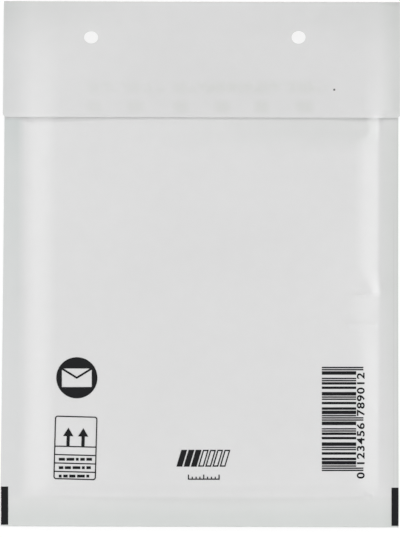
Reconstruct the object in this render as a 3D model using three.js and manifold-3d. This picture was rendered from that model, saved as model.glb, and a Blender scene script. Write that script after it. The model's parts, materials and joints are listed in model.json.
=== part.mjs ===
// A padded mailing envelope, empty and closed, lying on its address side.
// One paper sheet is folded at the bottom into two plies, and its upper end folds over as the flap.
// A pouch of bubble film lies between the plies. Its edges are pressed flat and sealed in the seams.
// The flap covers a glue strip with its release liner, and two holes are punched through every layer.
// Millimetres. X runs across the envelope, Y from the bottom fold to the flap fold, Z is up.
// The origin is on the floor, under the middle of the envelope.

import * as THREE from "three";
import { mergeVertices } from "three/addons/utils/BufferGeometryUtils.js";
import Module from "manifold-3d";

const wasm = await Module();
wasm.setup();

// Outline
const OUTER_WIDTH = 170;
const OUTER_LENGTH = 225;
const FLAP_LENGTH = 50;
const SIDE_SEAM = 9;
const BOTTOM_SEAM = 12.8;
const PULL_IN = 0.4; // how far the padding draws in each side edge at the mouth
const CORNER_RADIUS = 1.5; // of the flap's two free corners

// Layers
const PAPER = 0.2;
const FILM = 3; // one wall of bubble film, bubbles included
const SEALED_FILM = 0.3; // both walls of film, pressed together in a seam
const POCKET_GAP = 1; // between the two walls of film, with nothing inside
const POCKET_EDGE_GAP = 0.15; // what is left of that gap where the walls meet
const CLEARANCE = 0.1; // between layers that lie on each other

// Padding
const SIDE_RISE = 10; // width of the slope from a side seam up to the flat top
const BOTTOM_RISE = 7;
const TOP_TAPER = 14; // length over which the padding thins towards the flap fold
const TOP_SHARE = 0.5; // share of the padding that is left at the flap fold
const FILM_SETBACK = 0.6; // of the film's edge behind the paper's edge
const POCKET_INSET = 1.2; // from a seam to the edge of the room inside

// Flap
const FOLD_DEPTH = 3; // how far the flap fold bulges past the straight plies
const MOUTH_SETBACK = 1; // from the start of the flap fold down to the front ply's edge
const FLAP_DROP = 0.5; // share of the padding's height that the flap's side edges come down
const GLUE = 0.15;
const GLUE_WIDTH = 12;
const GLUE_INSET = 3.5; // from the flap's free edge
const GLUE_END_INSET = 6; // from the flap's side edges
const LINER = 0.15;
const LINER_MARGIN = 1.5; // of release liner round the glue

// Punched holes
const HOLE_DIAMETER = 6;
const HOLE_SPACING = 88.7;
const HOLE_FROM_FOLD = 15.4;
const HOLES_TO_RIGHT = -2.5; // of the envelope's middle

// Print, in one black ink. Each place is that of the print's middle.
const INK = 0.1;
const INK_CLEARANCE = 0.05;
const LINE = 0.5; // thinnest printed line
const CORNER_MARK = { width: 3, length: 16.8 };
const BARS = { fromRight: 25.7, fromBottom: 46.3, width: 15, length: 44.5, guard: 2.8, modules: 95 };
const ROUND_MARK = { fromLeft: 32, fromBottom: 63.9, radius: 8.8, rim: 2.4 };
const FORM = { fromLeft: 31.4, fromBottom: 33.9, width: 18.2, length: 27.2, radius: 1.2 };
const FORM_RULES = { count: 4, pitch: 3.6 };
const ARROW = { width: 4.4, height: 8, shaft: 1.4, head: 3.6, apart: 6.4 };
const SLANTED_BARS = { toRight: 1.4, fromBottom: 29.5, width: 23.6, length: 7.2, count: 7, slant: 2.4 };
const TICK_ROW = { toRight: 1.3, fromBottom: 21.4, width: 13.6, length: 2.2, short: 1.3, count: 9 };

// Fineness of the curved parts
const SLOPE_STEPS = 7;
const TAPER_STEPS = 5;
const FOLD_STEPS = 8;
const CORNER_STEPS = 4;
const HOLE_SIDES = 24;
const ARC_SEGMENTS = 6;

// Places that follow from the sizes above
const HALF_WIDTH = OUTER_WIDTH / 2;
const TOP_FOLD_Y = OUTER_LENGTH / 2;
const BOTTOM_FOLD_Y = -OUTER_LENGTH / 2;
const SIDE_SEAM_X = HALF_WIDTH - SIDE_SEAM;
const FLAT_HALF_WIDTH = SIDE_SEAM_X - SIDE_RISE;
const BOTTOM_SEAM_Y = BOTTOM_FOLD_Y + BOTTOM_SEAM;
const TAPER_Y = TOP_FOLD_Y - TOP_TAPER;
const FOLD_START_Y = TOP_FOLD_Y - FOLD_DEPTH;
const MOUTH_Y = FOLD_START_Y - MOUTH_SETBACK;
const FLAP_EDGE_Y = TOP_FOLD_Y - FLAP_LENGTH;

// Half heights of the layers, measured from the middle plane or from the film under the paper
const SEAM_FILM_HALF = SEALED_FILM / 2;
const PAD_FILM_HALF = POCKET_GAP / 2 + FILM;
const PLY_INNER = CLEARANCE;
const PLY_OUTER = CLEARANCE + PAPER;
const SEAM_HALF = SEAM_FILM_HALF + PLY_OUTER;
const MIDDLE_Z = PAD_FILM_HALF + PLY_OUTER;
const FLAP_LIFT = 3 * CLEARANCE + GLUE + LINER;
const PUNCH_DEPTH = 4 * MIDDLE_Z; // more than the whole envelope

const clamp = (value) => Math.min(1, Math.max(0, value));
const easeOut = (t) => Math.sin((Math.PI / 2) * clamp(t));
const easeIn = (t) => 1 - Math.cos((Math.PI / 2) * clamp(t));

// The share of the full padding at a point, from 0 in a seam to 1 on the flat top.
const sideShare = (x) => easeOut((SIDE_SEAM_X - Math.abs(x)) / SIDE_RISE);
const bottomShare = (y) => easeOut((y - BOTTOM_SEAM_Y) / BOTTOM_RISE);
const topShare = (y) => 1 - (1 - TOP_SHARE) * easeIn((y - TAPER_Y) / TOP_TAPER);
const padShare = (x, y) => sideShare(x) * bottomShare(y) * topShare(y);

// The flap spans the side seams instead of going down into them.
function flapShare(x, y) {
  const pastFlat = (Math.abs(x) - FLAT_HALF_WIDTH) / (HALF_WIDTH - FLAT_HALF_WIDTH);
  return (1 - FLAP_DROP * easeIn(pastFlat)) * topShare(y);
}

const filmHalf = (share) => SEAM_FILM_HALF + (PAD_FILM_HALF - SEAM_FILM_HALF) * share;
const frontTop = (x, y) => MIDDLE_Z + filmHalf(padShare(x, y)) + PLY_OUTER;
const flapUnderside = (x, y) => MIDDLE_Z + filmHalf(flapShare(x, y)) + PLY_OUTER + FLAP_LIFT;

// The sides lean in towards the mouth.
const pulledIn = (y) => PULL_IN * clamp((y - BOTTOM_SEAM_Y) / (MOUTH_Y - BOTTOM_SEAM_Y));
const pocketHalfWidth = (y) => HALF_WIDTH - pulledIn(y);

// Evenly spaced values from start to end, both ends included.
function spread(start, end, steps) {
  return Array.from({ length: steps + 1 }, (_, k) => start + ((end - start) * k) / steps);
}

// Sorted values from low to high, with both limits added and near doubles left out.
function linesWithin(lines, low, high) {
  const nearlySame = 1e-3;
  const kept = [low, ...lines.filter((v) => v > low && v < high), high].sort((a, b) => a - b);
  return kept.filter((v, k) => k === 0 || v - kept[k - 1] > nearlySame);
}

// Grid lines that every layer shares, close together on the slopes and far apart on the flat top.
const HALF_LINES = [
  0,
  ...spread(FLAT_HALF_WIDTH, SIDE_SEAM_X, SLOPE_STEPS),
  HALF_WIDTH - SIDE_SEAM / 2,
  HALF_WIDTH,
];
const MIRRORED_LINES = HALF_LINES.flatMap((x) => [-x, x]);
const X_LINES = linesWithin(MIRRORED_LINES, -HALF_WIDTH, HALF_WIDTH);
const Y_LINES = [
  ...spread(BOTTOM_SEAM_Y, BOTTOM_SEAM_Y + BOTTOM_RISE, SLOPE_STEPS),
  ...spread(TAPER_Y, TOP_FOLD_Y, TAPER_STEPS),
];

// A closed geometry as a solid that can be joined and cut.
function solidFrom(geometry) {
  const bare = new THREE.BufferGeometry();
  bare.setAttribute("position", geometry.getAttribute("position"));
  bare.setIndex(geometry.getIndex());
  const merged = mergeVertices(bare);
  const triVerts = new Uint32Array(merged.getIndex().array);
  const vertProperties = merged.getAttribute("position").array;
  return new wasm.Manifold(new wasm.Mesh({ numProp: 3, vertProperties, triVerts }));
}

function geometryFrom(solid) {
  const { vertProperties, triVerts } = solid.getMesh();
  const geometry = new THREE.BufferGeometry();
  geometry.setAttribute("position", new THREE.BufferAttribute(vertProperties, 3));
  geometry.setIndex(new THREE.BufferAttribute(triVerts, 1));
  geometry.computeVertexNormals();
  return geometry;
}

// A closed sheet over a grid. outer and inner give the point of each face at a column and a station.
// Looking at the outer face with the columns running right, the stations run towards the viewer.
function closedSheet(columns, stations, outer, inner) {
  const points = [outer, inner].flatMap((face) =>
    stations.flatMap((station) => columns.map((column) => face(column, station))),
  );
  const [nx, ny] = [columns.length, stations.length];
  const at = (i, j, side) => (side * ny + j) * nx + i;
  const index = [];
  const quad = (a, b, c, d) => index.push(a, b, c, a, c, d);
  for (let j = 0; j < ny - 1; j++) {
    for (let i = 0; i < nx - 1; i++) {
      quad(at(i, j, 0), at(i, j + 1, 0), at(i + 1, j + 1, 0), at(i + 1, j, 0));
      quad(at(i, j, 1), at(i + 1, j, 1), at(i + 1, j + 1, 1), at(i, j + 1, 1));
    }
  }
  for (let i = 0; i < nx - 1; i++) {
    quad(at(i, 0, 0), at(i + 1, 0, 0), at(i + 1, 0, 1), at(i, 0, 1));
    quad(at(i, ny - 1, 1), at(i + 1, ny - 1, 1), at(i + 1, ny - 1, 0), at(i, ny - 1, 0));
  }
  for (let j = 0; j < ny - 1; j++) {
    quad(at(0, j, 1), at(0, j + 1, 1), at(0, j + 1, 0), at(0, j, 0));
    quad(at(nx - 1, j, 0), at(nx - 1, j + 1, 0), at(nx - 1, j + 1, 1), at(nx - 1, j, 1));
  }
  const geometry = new THREE.BufferGeometry();
  geometry.setAttribute("position", new THREE.Float32BufferAttribute(points.flat(), 3));
  geometry.setIndex(index);
  return solidFrom(geometry);
}

// A solid between two height functions, over a strip whose half width may change along its length.
function layer(halfWidth, lowY, highY, lowZ, highZ) {
  const stations = linesWithin(Y_LINES, lowY, highY).reverse();
  const widest = Math.max(...stations.map(halfWidth));
  const columns = linesWithin(X_LINES, -widest, widest);
  const face = (height) => (column, y) => {
    const x = THREE.MathUtils.clamp(column, -halfWidth(y), halfWidth(y));
    return [x, y, height(x, y)];
  };
  return closedSheet(columns, stations, face(highZ), face(lowZ));
}

// The two round holes go through whatever layer they are cut in.
function punch(solid) {
  return [-1, 1].reduce((left, side) => {
    const radius = HOLE_DIAMETER / 2;
    const pin = new THREE.CylinderGeometry(radius, radius, PUNCH_DEPTH, HOLE_SIDES);
    pin.rotateX(Math.PI / 2);
    pin.translate(HOLES_TO_RIGHT + (side * HOLE_SPACING) / 2, TOP_FOLD_Y - HOLE_FROM_FOLD, MIDDLE_Z);
    return left.subtract(solidFrom(pin));
  }, solid);
}

// One line across a ply, on the front (side 1) or on the back (side -1).
function plyStation(y, side) {
  const height = (x, offset) => MIDDLE_Z + side * (filmHalf(padShare(x, y)) + offset);
  return {
    halfWidth: pocketHalfWidth(y),
    outer: (x) => [y, height(x, PLY_OUTER)],
    inner: (x) => [y, height(x, PLY_INNER)],
  };
}

function bottomFoldStation(angle) {
  const arc = (radius) => () => [
    BOTTOM_FOLD_Y + SEAM_HALF - radius * Math.cos(angle),
    MIDDLE_Z + radius * Math.sin(angle),
  ];
  return { halfWidth: HALF_WIDTH, outer: arc(SEAM_HALF), inner: arc(SEAM_HALF - PAPER) };
}

// The flap fold joins the back ply's underside to the flap's top, which lies higher.
function flapFoldStation(angle) {
  const arc = (inset) => (x) => {
    const low = MIDDLE_Z - filmHalf(padShare(x, FOLD_START_Y)) - PLY_OUTER;
    const high = flapUnderside(x, FOLD_START_Y) + PAPER;
    const y = FOLD_START_Y + (FOLD_DEPTH - inset) * Math.cos(angle);
    const z = (low + high) / 2 + ((high - low) / 2 - inset) * Math.sin(angle);
    return [y, z];
  };
  const shareOfBack = 0.5 - angle / Math.PI;
  const halfWidth = HALF_WIDTH - pulledIn(FOLD_START_Y) * shareOfBack;
  return { halfWidth, outer: arc(0), inner: arc(PAPER) };
}

function flapStation(y) {
  const pastArc = Math.max(0, CORNER_RADIUS - (y - FLAP_EDGE_Y));
  const rounding = CORNER_RADIUS - Math.sqrt(CORNER_RADIUS ** 2 - pastArc ** 2);
  return {
    halfWidth: HALF_WIDTH - rounding,
    outer: (x) => [y, flapUnderside(x, y) + PAPER],
    inner: (x) => [y, flapUnderside(x, y)],
  };
}

// The sheet is followed from the mouth down the front ply, round the bottom fold, up the back ply,
// round the flap fold and down to the flap's free edge.
function paperCover() {
  const bottomY = BOTTOM_FOLD_Y + SEAM_HALF;
  const bend = spread(-Math.PI / 2, Math.PI / 2, FOLD_STEPS).slice(1, -1);
  const cornerAngles = spread(0, Math.PI / 2, CORNER_STEPS).slice(1);
  const cornerLines = cornerAngles.map((angle) => FLAP_EDGE_Y + CORNER_RADIUS * (1 - Math.cos(angle)));
  const flapLines = linesWithin([...cornerLines, ...Y_LINES], FLAP_EDGE_Y, FOLD_START_Y);
  const stations = [
    ...linesWithin(Y_LINES, bottomY, MOUTH_Y).reverse().map((y) => plyStation(y, 1)),
    ...bend.toReversed().map(bottomFoldStation),
    ...linesWithin(Y_LINES, bottomY, FOLD_START_Y).map((y) => plyStation(y, -1)),
    ...bend.map(flapFoldStation),
    ...flapLines.reverse().map(flapStation),
  ];
  const face = (name) => (column, station) => {
    const x = THREE.MathUtils.clamp(column, -station.halfWidth, station.halfWidth);
    return [x, ...station[name](x)];
  };
  return punch(closedSheet(X_LINES, stations, face("outer"), face("inner")));
}

// The pouch of bubble film: full height in the middle, pressed flat in the seams, open at the mouth.
function bubbleLining() {
  const mouthY = MOUTH_Y - FILM_SETBACK;
  const pouch = layer(
    (y) => pocketHalfWidth(y) - FILM_SETBACK,
    BOTTOM_FOLD_Y + SEAM_HALF + FILM_SETBACK,
    mouthY,
    (x, y) => MIDDLE_Z - filmHalf(padShare(x, y)),
    (x, y) => MIDDLE_Z + filmHalf(padShare(x, y)),
  );
  return punch(pouch.subtract(pocketRoom(mouthY)));
}

// The thin room between the film's walls. It runs out past the mouth.
function pocketRoom(mouthY) {
  const halfWidth = SIDE_SEAM_X - POCKET_INSET;
  const lowY = BOTTOM_SEAM_Y + POCKET_INSET;
  const share = (x, y) => easeOut((halfWidth - Math.abs(x)) / SIDE_RISE) * easeOut((y - lowY) / BOTTOM_RISE);
  const half = (x, y) => (POCKET_EDGE_GAP + (POCKET_GAP - POCKET_EDGE_GAP) * share(x, y)) / 2;
  return layer(
    () => halfWidth,
    lowY,
    mouthY + FOLD_DEPTH,
    (x, y) => MIDDLE_Z - half(x, y),
    (x, y) => MIDDLE_Z + half(x, y),
  );
}

// A strip along the flap's free edge, with its top a given depth below the flap's underside.
function stripUnderFlap(margin, depth, thickness) {
  const lowY = FLAP_EDGE_Y + GLUE_INSET - margin;
  const highY = FLAP_EDGE_Y + GLUE_INSET + GLUE_WIDTH + margin;
  const below = (distance) => (x, y) => flapUnderside(x, y) - distance;
  const halfWidth = HALF_WIDTH - GLUE_END_INSET + margin;
  return layer(() => halfWidth, lowY, highY, below(depth + thickness), below(depth));
}

// A sheet of ink over the whole front ply, up to just short of the flap.
function inkSheet() {
  const above = (distance) => (x, y) => frontTop(x, y) + INK_CLEARANCE + distance;
  return layer(pocketHalfWidth, BOTTOM_FOLD_Y + SEAM_HALF, FLAP_EDGE_Y - LINE, above(0), above(INK));
}

const INK_SHEET = inkSheet();

// A print is what its outlines cut out of the sheet of ink.
function printed(shapes, x, y) {
  const prisms = shapes.map((shape) => {
    const options = { depth: PUNCH_DEPTH, bevelEnabled: false, curveSegments: ARC_SEGMENTS };
    const prism = new THREE.ExtrudeGeometry(shape, options);
    prism.translate(x, y, MIDDLE_Z - PUNCH_DEPTH / 2);
    return solidFrom(prism);
  });
  return INK_SHEET.intersect(prisms.reduce((joined, prism) => joined.add(prism)));
}

const pointsOf = (corners) => corners.map(([x, y]) => new THREE.Vector2(x, y));

function rectangle(left, bottom, width, height) {
  const [right, top] = [left + width, bottom + height];
  const corners = [[left, bottom], [right, bottom], [right, top], [left, top]];
  return new THREE.Shape(pointsOf(corners));
}

function roundedRectangle(width, height, radius) {
  const [x, y] = [width / 2 - radius, height / 2 - radius];
  const quarter = Math.PI / 2;
  const shape = new THREE.Shape();
  shape.absarc(x, y, radius, 0, quarter);
  shape.absarc(-x, y, radius, quarter, 2 * quarter);
  shape.absarc(-x, -y, radius, 2 * quarter, 3 * quarter);
  shape.absarc(x, -y, radius, 3 * quarter, 4 * quarter);
  shape.closePath();
  return shape;
}

// A register mark in a bottom corner, on the left (side -1) or on the right (side 1).
function cornerMark(side) {
  const { width, length } = CORNER_MARK;
  const left = side > 0 ? -width : 0;
  return printed([rectangle(left, 0, width, length)], side * HALF_WIDTH, BOTTOM_FOLD_Y);
}

// Bars of uneven width on a thin spine. A short rule gives their widths, so they encode nothing.
function bars() {
  const { fromRight, fromBottom, width, length, guard, modules } = BARS;
  const [left, bottom] = [-width / 2, -length / 2];
  const rows = [];
  for (let start = 0; start < modules; ) {
    const k = rows.length;
    const thickness = Math.min(1 + (((7 * k) % 5) % 3), modules - start);
    rows.push({ start, thickness });
    start += thickness + 1 + (((3 * k) % 4) % 3);
  }
  const middle = Math.floor(rows.length / 2);
  const guards = [0, 1, middle - 1, middle, rows.length - 2, rows.length - 1];
  const module = length / modules;
  const shapes = rows.map(({ start, thickness }, k) => {
    const reach = guards.includes(k) ? width + guard : width;
    return rectangle(left, bottom + start * module, reach, thickness * module);
  });
  const spine = rectangle(-left - LINE, bottom, LINE, length);
  return printed([spine, ...shapes], HALF_WIDTH - fromRight, BOTTOM_FOLD_Y + fromBottom);
}

// A solid disc with a small envelope left blank in it: a body and, above it, a pointed flap.
function roundMark() {
  const { fromLeft, fromBottom, radius, rim } = ROUND_MARK;
  const disc = new THREE.Shape();
  disc.absarc(0, 0, radius, 0, 2 * Math.PI);
  const side = radius - rim;
  const top = 0.62 * side;
  const body = [[-side, top - 2 * LINE], [0, -LINE], [side, top - 2 * LINE], [side, -top], [-side, -top]];
  const flap = [[LINE - side, top], [side - LINE, top], [0, LINE]];
  disc.holes.push(new THREE.Path(pointsOf(body)), new THREE.Path(pointsOf(flap)));
  return printed([disc], fromLeft - HALF_WIDTH, BOTTOM_FOLD_Y + fromBottom);
}

// An upright arrow that stands on a line.
function arrow(x, foot) {
  const { width, height, shaft, head } = ARROW;
  const shoulder = foot + height - head;
  const outline = [
    [x - shaft / 2, foot],
    [x + shaft / 2, foot],
    [x + shaft / 2, shoulder],
    [x + width / 2, shoulder],
    [x, foot + height],
    [x - width / 2, shoulder],
    [x - shaft / 2, shoulder],
  ];
  return new THREE.Shape(pointsOf(outline));
}

// An empty form: a rounded frame with ruled lines, and two arrows that stand on the upper line.
function printedForm() {
  const { fromLeft, fromBottom, width, length, radius } = FORM;
  const outline = roundedRectangle(width, length, radius);
  outline.holes.push(roundedRectangle(width - 2 * LINE, length - 2 * LINE, radius - LINE));
  const bottom = -length / 2;
  const left = (LINE - width) / 2;
  const rules = spread(1, FORM_RULES.count, FORM_RULES.count - 1).map((k) =>
    rectangle(left, bottom + k * FORM_RULES.pitch - LINE, width - LINE, LINE),
  );
  const foot = bottom + FORM_RULES.count * FORM_RULES.pitch - LINE / 2;
  const arrows = [-1, 1].map((side) => arrow((side * ARROW.apart) / 2, foot));
  return printed([outline, ...rules, ...arrows], fromLeft - HALF_WIDTH, BOTTOM_FOLD_Y + fromBottom);
}

// A row of leaning bars on one base line.
function slantedBars() {
  const { toRight, fromBottom, width, length, count, slant } = SLANTED_BARS;
  const [left, bottom] = [-width / 2, -length / 2];
  const pitch = (width - slant) / count;
  const top = bottom + length;
  const leaning = spread(left, left + (count - 1) * pitch, count - 1).map((x) => {
    const right = x + pitch - LINE;
    return new THREE.Shape(pointsOf([[x, bottom], [right, bottom], [right + slant, top], [x + slant, top]]));
  });
  const base = rectangle(left, bottom, width - slant, LINE);
  return printed([base, ...leaning], toRight, BOTTOM_FOLD_Y + fromBottom);
}

// A short scale of ticks, in which every fourth tick is longer.
function tickRow() {
  const { toRight, fromBottom, width, length, short, count } = TICK_ROW;
  const [left, bottom] = [-width / 2, -length / 2];
  const ticks = spread(left, left + width - LINE, count - 1).map((x, k) =>
    rectangle(x, bottom, LINE, k % 4 === 0 ? length : short),
  );
  return printed([rectangle(left, bottom, width, LINE), ...ticks], toRight, BOTTOM_FOLD_Y + fromBottom);
}

const finish = (color, roughness) => new THREE.MeshStandardMaterial({ color, roughness, metalness: 0 });
const WHITE_PAPER = finish(0xe2e3e2, 0.72);
const BUBBLE_FILM = finish(0xe8eef0, 0.25);
const HOT_MELT_GLUE = finish(0xe6dfc8, 0.3);
const RELEASE_PAPER = finish(0xf1f1ec, 0.35);
const BLACK_INK = finish(0x242528, 0.55);

const envelope = new THREE.Group();

function place(name, solid, material) {
  const mesh = new THREE.Mesh(geometryFrom(solid), material);
  mesh.name = name;
  envelope.add(mesh);
}

place("paper_cover", paperCover(), WHITE_PAPER);
place("bubble_lining", bubbleLining(), BUBBLE_FILM);
place("glue_strip", stripUnderFlap(0, CLEARANCE, GLUE), HOT_MELT_GLUE);
place("release_liner", stripUnderFlap(LINER_MARGIN, 2 * CLEARANCE + GLUE, LINER), RELEASE_PAPER);
place("corner_mark_left", cornerMark(-1), BLACK_INK);
place("corner_mark_right", cornerMark(1), BLACK_INK);
place("printed_bars", bars(), BLACK_INK);
place("round_mark", roundMark(), BLACK_INK);
place("printed_form", printedForm(), BLACK_INK);
place("slanted_bars", slantedBars(), BLACK_INK);
place("tick_row", tickRow(), BLACK_INK);

export default envelope;
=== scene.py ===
# %% [markdown]
# # A padded mailing envelope
# The envelope is a white paper sheet folded round a pouch of bubble film. It lies on a table with its
# flap side up, and the camera looks straight down on it.
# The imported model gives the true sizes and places. Each piece below is the same piece with its real
# look: the soft slopes of the padding, the creases, the bubbles, and the print.
# Everything is in metres, so sizes are written in millimetres times MM.

# %% Load the frame
import json
import math

import bpy
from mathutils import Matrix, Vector, noise


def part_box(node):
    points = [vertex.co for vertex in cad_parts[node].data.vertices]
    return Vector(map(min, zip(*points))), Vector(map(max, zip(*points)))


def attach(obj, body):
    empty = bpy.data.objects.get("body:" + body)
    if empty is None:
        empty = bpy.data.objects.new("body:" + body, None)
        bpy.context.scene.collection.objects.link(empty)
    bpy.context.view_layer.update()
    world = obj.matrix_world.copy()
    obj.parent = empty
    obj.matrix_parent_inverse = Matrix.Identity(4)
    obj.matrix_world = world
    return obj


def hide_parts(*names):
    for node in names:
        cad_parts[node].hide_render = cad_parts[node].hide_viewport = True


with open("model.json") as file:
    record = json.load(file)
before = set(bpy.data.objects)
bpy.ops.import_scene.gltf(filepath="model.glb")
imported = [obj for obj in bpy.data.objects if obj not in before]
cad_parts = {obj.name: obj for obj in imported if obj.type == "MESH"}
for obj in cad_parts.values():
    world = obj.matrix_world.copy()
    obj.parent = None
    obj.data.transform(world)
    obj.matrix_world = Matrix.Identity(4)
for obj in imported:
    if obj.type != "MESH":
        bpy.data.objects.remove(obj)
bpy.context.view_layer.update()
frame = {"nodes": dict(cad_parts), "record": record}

MM = 0.001

# %% [markdown]
# ## The places of everything
# The driving sizes are read from the imported pieces, so that the looks follow the construction. The
# paper's own box gives the outline, and the film's box gives the height of the padding.
# Only what a box can't tell is given, such as the width of a seam.

# %% Sizes from the frame
paper_low, paper_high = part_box("paper_cover")
film_low, film_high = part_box("bubble_lining")
liner_low, liner_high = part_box("release_liner")
glue_low, glue_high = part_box("glue_strip")

HALF_WIDTH = paper_high.x
TOP_FOLD_Y = paper_high.y
BOTTOM_FOLD_Y = paper_low.y
MIDDLE_Z = (film_low.z + film_high.z) / 2
PAD_HALF = (film_high.z - film_low.z) / 2
print("The film is", round(2 * PAD_HALF / MM, 2), "mm thick where it is full")

# %% Layers and seams
PAPER = 0.2 * MM
CLEARANCE = 0.1 * MM
SEALED_HALF = 0.15 * MM
OUTER = CLEARANCE + PAPER
SEAM_HALF = SEALED_HALF + OUTER
SIDE_SEAM = 9 * MM
BOTTOM_SEAM = 12.8 * MM
SIDE_SEAM_X = HALF_WIDTH - SIDE_SEAM
BOTTOM_SEAM_Y = BOTTOM_FOLD_Y + BOTTOM_SEAM
print("A seam is", round(2 * SEAM_HALF / MM, 2), "mm thick")

# %% Flap, fold and mouth
FLAP_LENGTH = 49.7 * MM
FOLD_DEPTH = 0.2 * MM
FOLD_SETBACK = 0.15 * MM
MOUTH_SETBACK = 4 * MM
FLAP_EDGE_Y = TOP_FOLD_Y - FLAP_LENGTH
FOLD_START_Y = TOP_FOLD_Y - FOLD_DEPTH - FOLD_SETBACK
MOUTH_Y = TOP_FOLD_Y - MOUTH_SETBACK
FLAP_LIFT = paper_high.z - 2 * MIDDLE_Z - PAPER
print("The flap lies", round(FLAP_LIFT / MM, 2), "mm above the front ply")

# %% [markdown]
# ## Small helpers
# An operator acts on whatever is selected, so each step first selects just the piece it works on.

# %% Selecting, joining and finishing
def select_only(*pieces):
    """Selects these objects and makes the first one active."""
    bpy.ops.object.select_all(action="DESELECT")
    for piece in pieces:
        piece.select_set(True)
    bpy.context.view_layer.objects.active = pieces[0]


def apply_modifier(piece, kind, **settings):
    """Adds a modifier with its settings and applies it."""
    modifier = piece.modifiers.new(kind.title(), kind)
    for name, value in settings.items():
        setattr(modifier, name, value)
    select_only(piece)
    bpy.ops.object.modifier_apply(modifier=modifier.name)


def join(pieces, name):
    """Joins pieces into one object of that name."""
    select_only(*pieces)
    bpy.ops.object.join()
    pieces[0].name = name
    pieces[0].data.name = name
    return pieces[0]


def place_in_mesh(piece):
    """Puts a piece's place, turn and scale into its mesh, and its origin at the world's."""
    select_only(piece)
    bpy.ops.object.transform_apply(location=True, rotation=True, scale=True)


def finish(piece, node=None, smooth_below=40):
    """Smooths a piece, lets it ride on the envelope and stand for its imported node."""
    select_only(piece)
    bpy.ops.object.shade_smooth_by_angle(angle=math.radians(smooth_below))
    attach(piece, "root")
    if node:
        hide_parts(node)
    print(piece.name, "has", len(piece.data.polygons), "faces")
    return piece


# %% [markdown]
# ## The swell of the padding
# The film is pressed flat in the seams and full in the middle. Each point of the paper gets a share of
# the full height: 0 in a seam, 1 on the flat top. The two long sides swell in different ways. On the
# left the paper eases down into its seam. On the right it drops more steeply, and most of all in two
# places: near the flap, and where the pack was bent, so that its side was pushed up to a sharp fold.

# %% Curves from 0 to 1
def clamp(value):
    return min(1.0, max(0.0, value))


def ease_out(t):
    return math.sin(math.pi / 2 * clamp(t))


def s_curve(t):
    t = clamp(t)
    return t * t * (3 - 2 * t)


def hump(value, middle, reach):
    """1 at the middle and falling off softly on both sides, to about a third at the reach."""
    return math.exp(-(((value - middle) / reach) ** 2))


# %% The left side
LEFT_INSET = 0.6 * MM
LEFT_RISE = 13.8 * MM
LEFT_CROWN = 0.16
CROWN_WIDTH = 42 * MM


def left_share(x):
    """A wide slope beside the seam, and above it a slow rise towards the middle."""
    from_seam = x + SIDE_SEAM_X - LEFT_INSET
    crown = LEFT_CROWN * ease_out((from_seam - LEFT_RISE) / CROWN_WIDTH)
    return (1 - LEFT_CROWN) * s_curve(from_seam / LEFT_RISE) + crown


# %% The right side
RIGHT_RISE = 11.0 * MM
RIGHT_EDGE_POWER = 0.78
LOWER_OUTSET = 1.0 * MM
UPPER_OUTSET = 0.35 * MM
BULGE_SHARE = 0.35
BULGE_Y = -22 * MM
BULGE_LENGTH = 8 * MM
DENT_TOP_Y = -1.0 * MM
DENT_FOOT_Y = -12.2 * MM
DENT_END_Y = -13.6 * MM
NEAR_FLAP_Y = 52 * MM
NEAR_FLAP_FADE = 5 * MM
NEAR_FLAP_TIGHT = 0.8
TIGHT_SHARE = 0.62
TIGHT_LOSS = 0.26
TIGHT_REACH = 24 * MM


def dent(y):
    """How far the side is pushed up to a sharp fold: 0 to 1 at its foot, then quickly back to 0."""
    if y > DENT_FOOT_Y:
        return s_curve((DENT_TOP_Y - y) / (DENT_TOP_Y - DENT_FOOT_Y))
    return s_curve((y - DENT_END_Y) / (DENT_FOOT_Y - DENT_END_Y))


def right_share(x, y):
    """A steep slope that is wider below the dent. Where it is tight, the paper behind it hangs."""
    above_dent = s_curve((y - DENT_END_Y) / (DENT_TOP_Y - DENT_END_Y))
    from_seam = SIDE_SEAM_X - x + LOWER_OUTSET + (UPPER_OUTSET - LOWER_OUTSET) * above_dent
    bulge = BULGE_SHARE * hump(y, BULGE_Y, BULGE_LENGTH)
    tight = max(dent(y), NEAR_FLAP_TIGHT * s_curve((y - NEAR_FLAP_Y) / NEAR_FLAP_FADE))
    rise = RIGHT_RISE * (1 + bulge) * (1 - TIGHT_SHARE * tight)
    steep = s_curve(clamp(from_seam / rise) ** RIGHT_EDGE_POWER)
    return steep + (s_curve(from_seam / TIGHT_REACH) - steep) * TIGHT_LOSS * tight**2


# %% The ends, the corners and the whole pad
BOTTOM_RISE = 7 * MM
TOP_TAPER = 14 * MM
TOP_SHARE = 0.5
CORNER_DROOP = 0.2
CORNER_REACH = 48 * MM


def top_share(y):
    """The padding thins towards the fold of the flap."""
    past = clamp((y - (TOP_FOLD_Y - TOP_TAPER)) / TOP_TAPER)
    return 1 - (1 - TOP_SHARE) * (1 - math.cos(math.pi / 2 * past))


def corner_share(x, y):
    """The lower corners of the pad hang a little, as on a pillow."""
    to_corner = math.hypot(SIDE_SEAM_X - abs(x), y - BOTTOM_SEAM_Y)
    return 1 - CORNER_DROOP * clamp(1 - to_corner / CORNER_REACH) ** 2


def pad_share(x, y):
    sideways = left_share(x) if x < 0 else right_share(x, y)
    lengthwise = ease_out((y - BOTTOM_SEAM_Y) / BOTTOM_RISE) * top_share(y)
    return sideways * lengthwise * corner_share(x, y)


def swell(share):
    """The half height of the film under the paper."""
    return SEALED_HALF + (PAD_HALF - SEALED_HALF) * share


print("The film is", round(2 * swell(pad_share(0, 0)) / MM, 2), "mm thick in the middle")

# %% [markdown]
# ## What makes it paper
# Real paper over bubbles is never a clean curve. Four things break it up: long soft waves, the faint
# print of the bubbles, puckers along the seams, and a few sharp creases where the pack was bent.
# The waves and puckers come from smooth noise, which gives the same result in each run.

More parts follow.
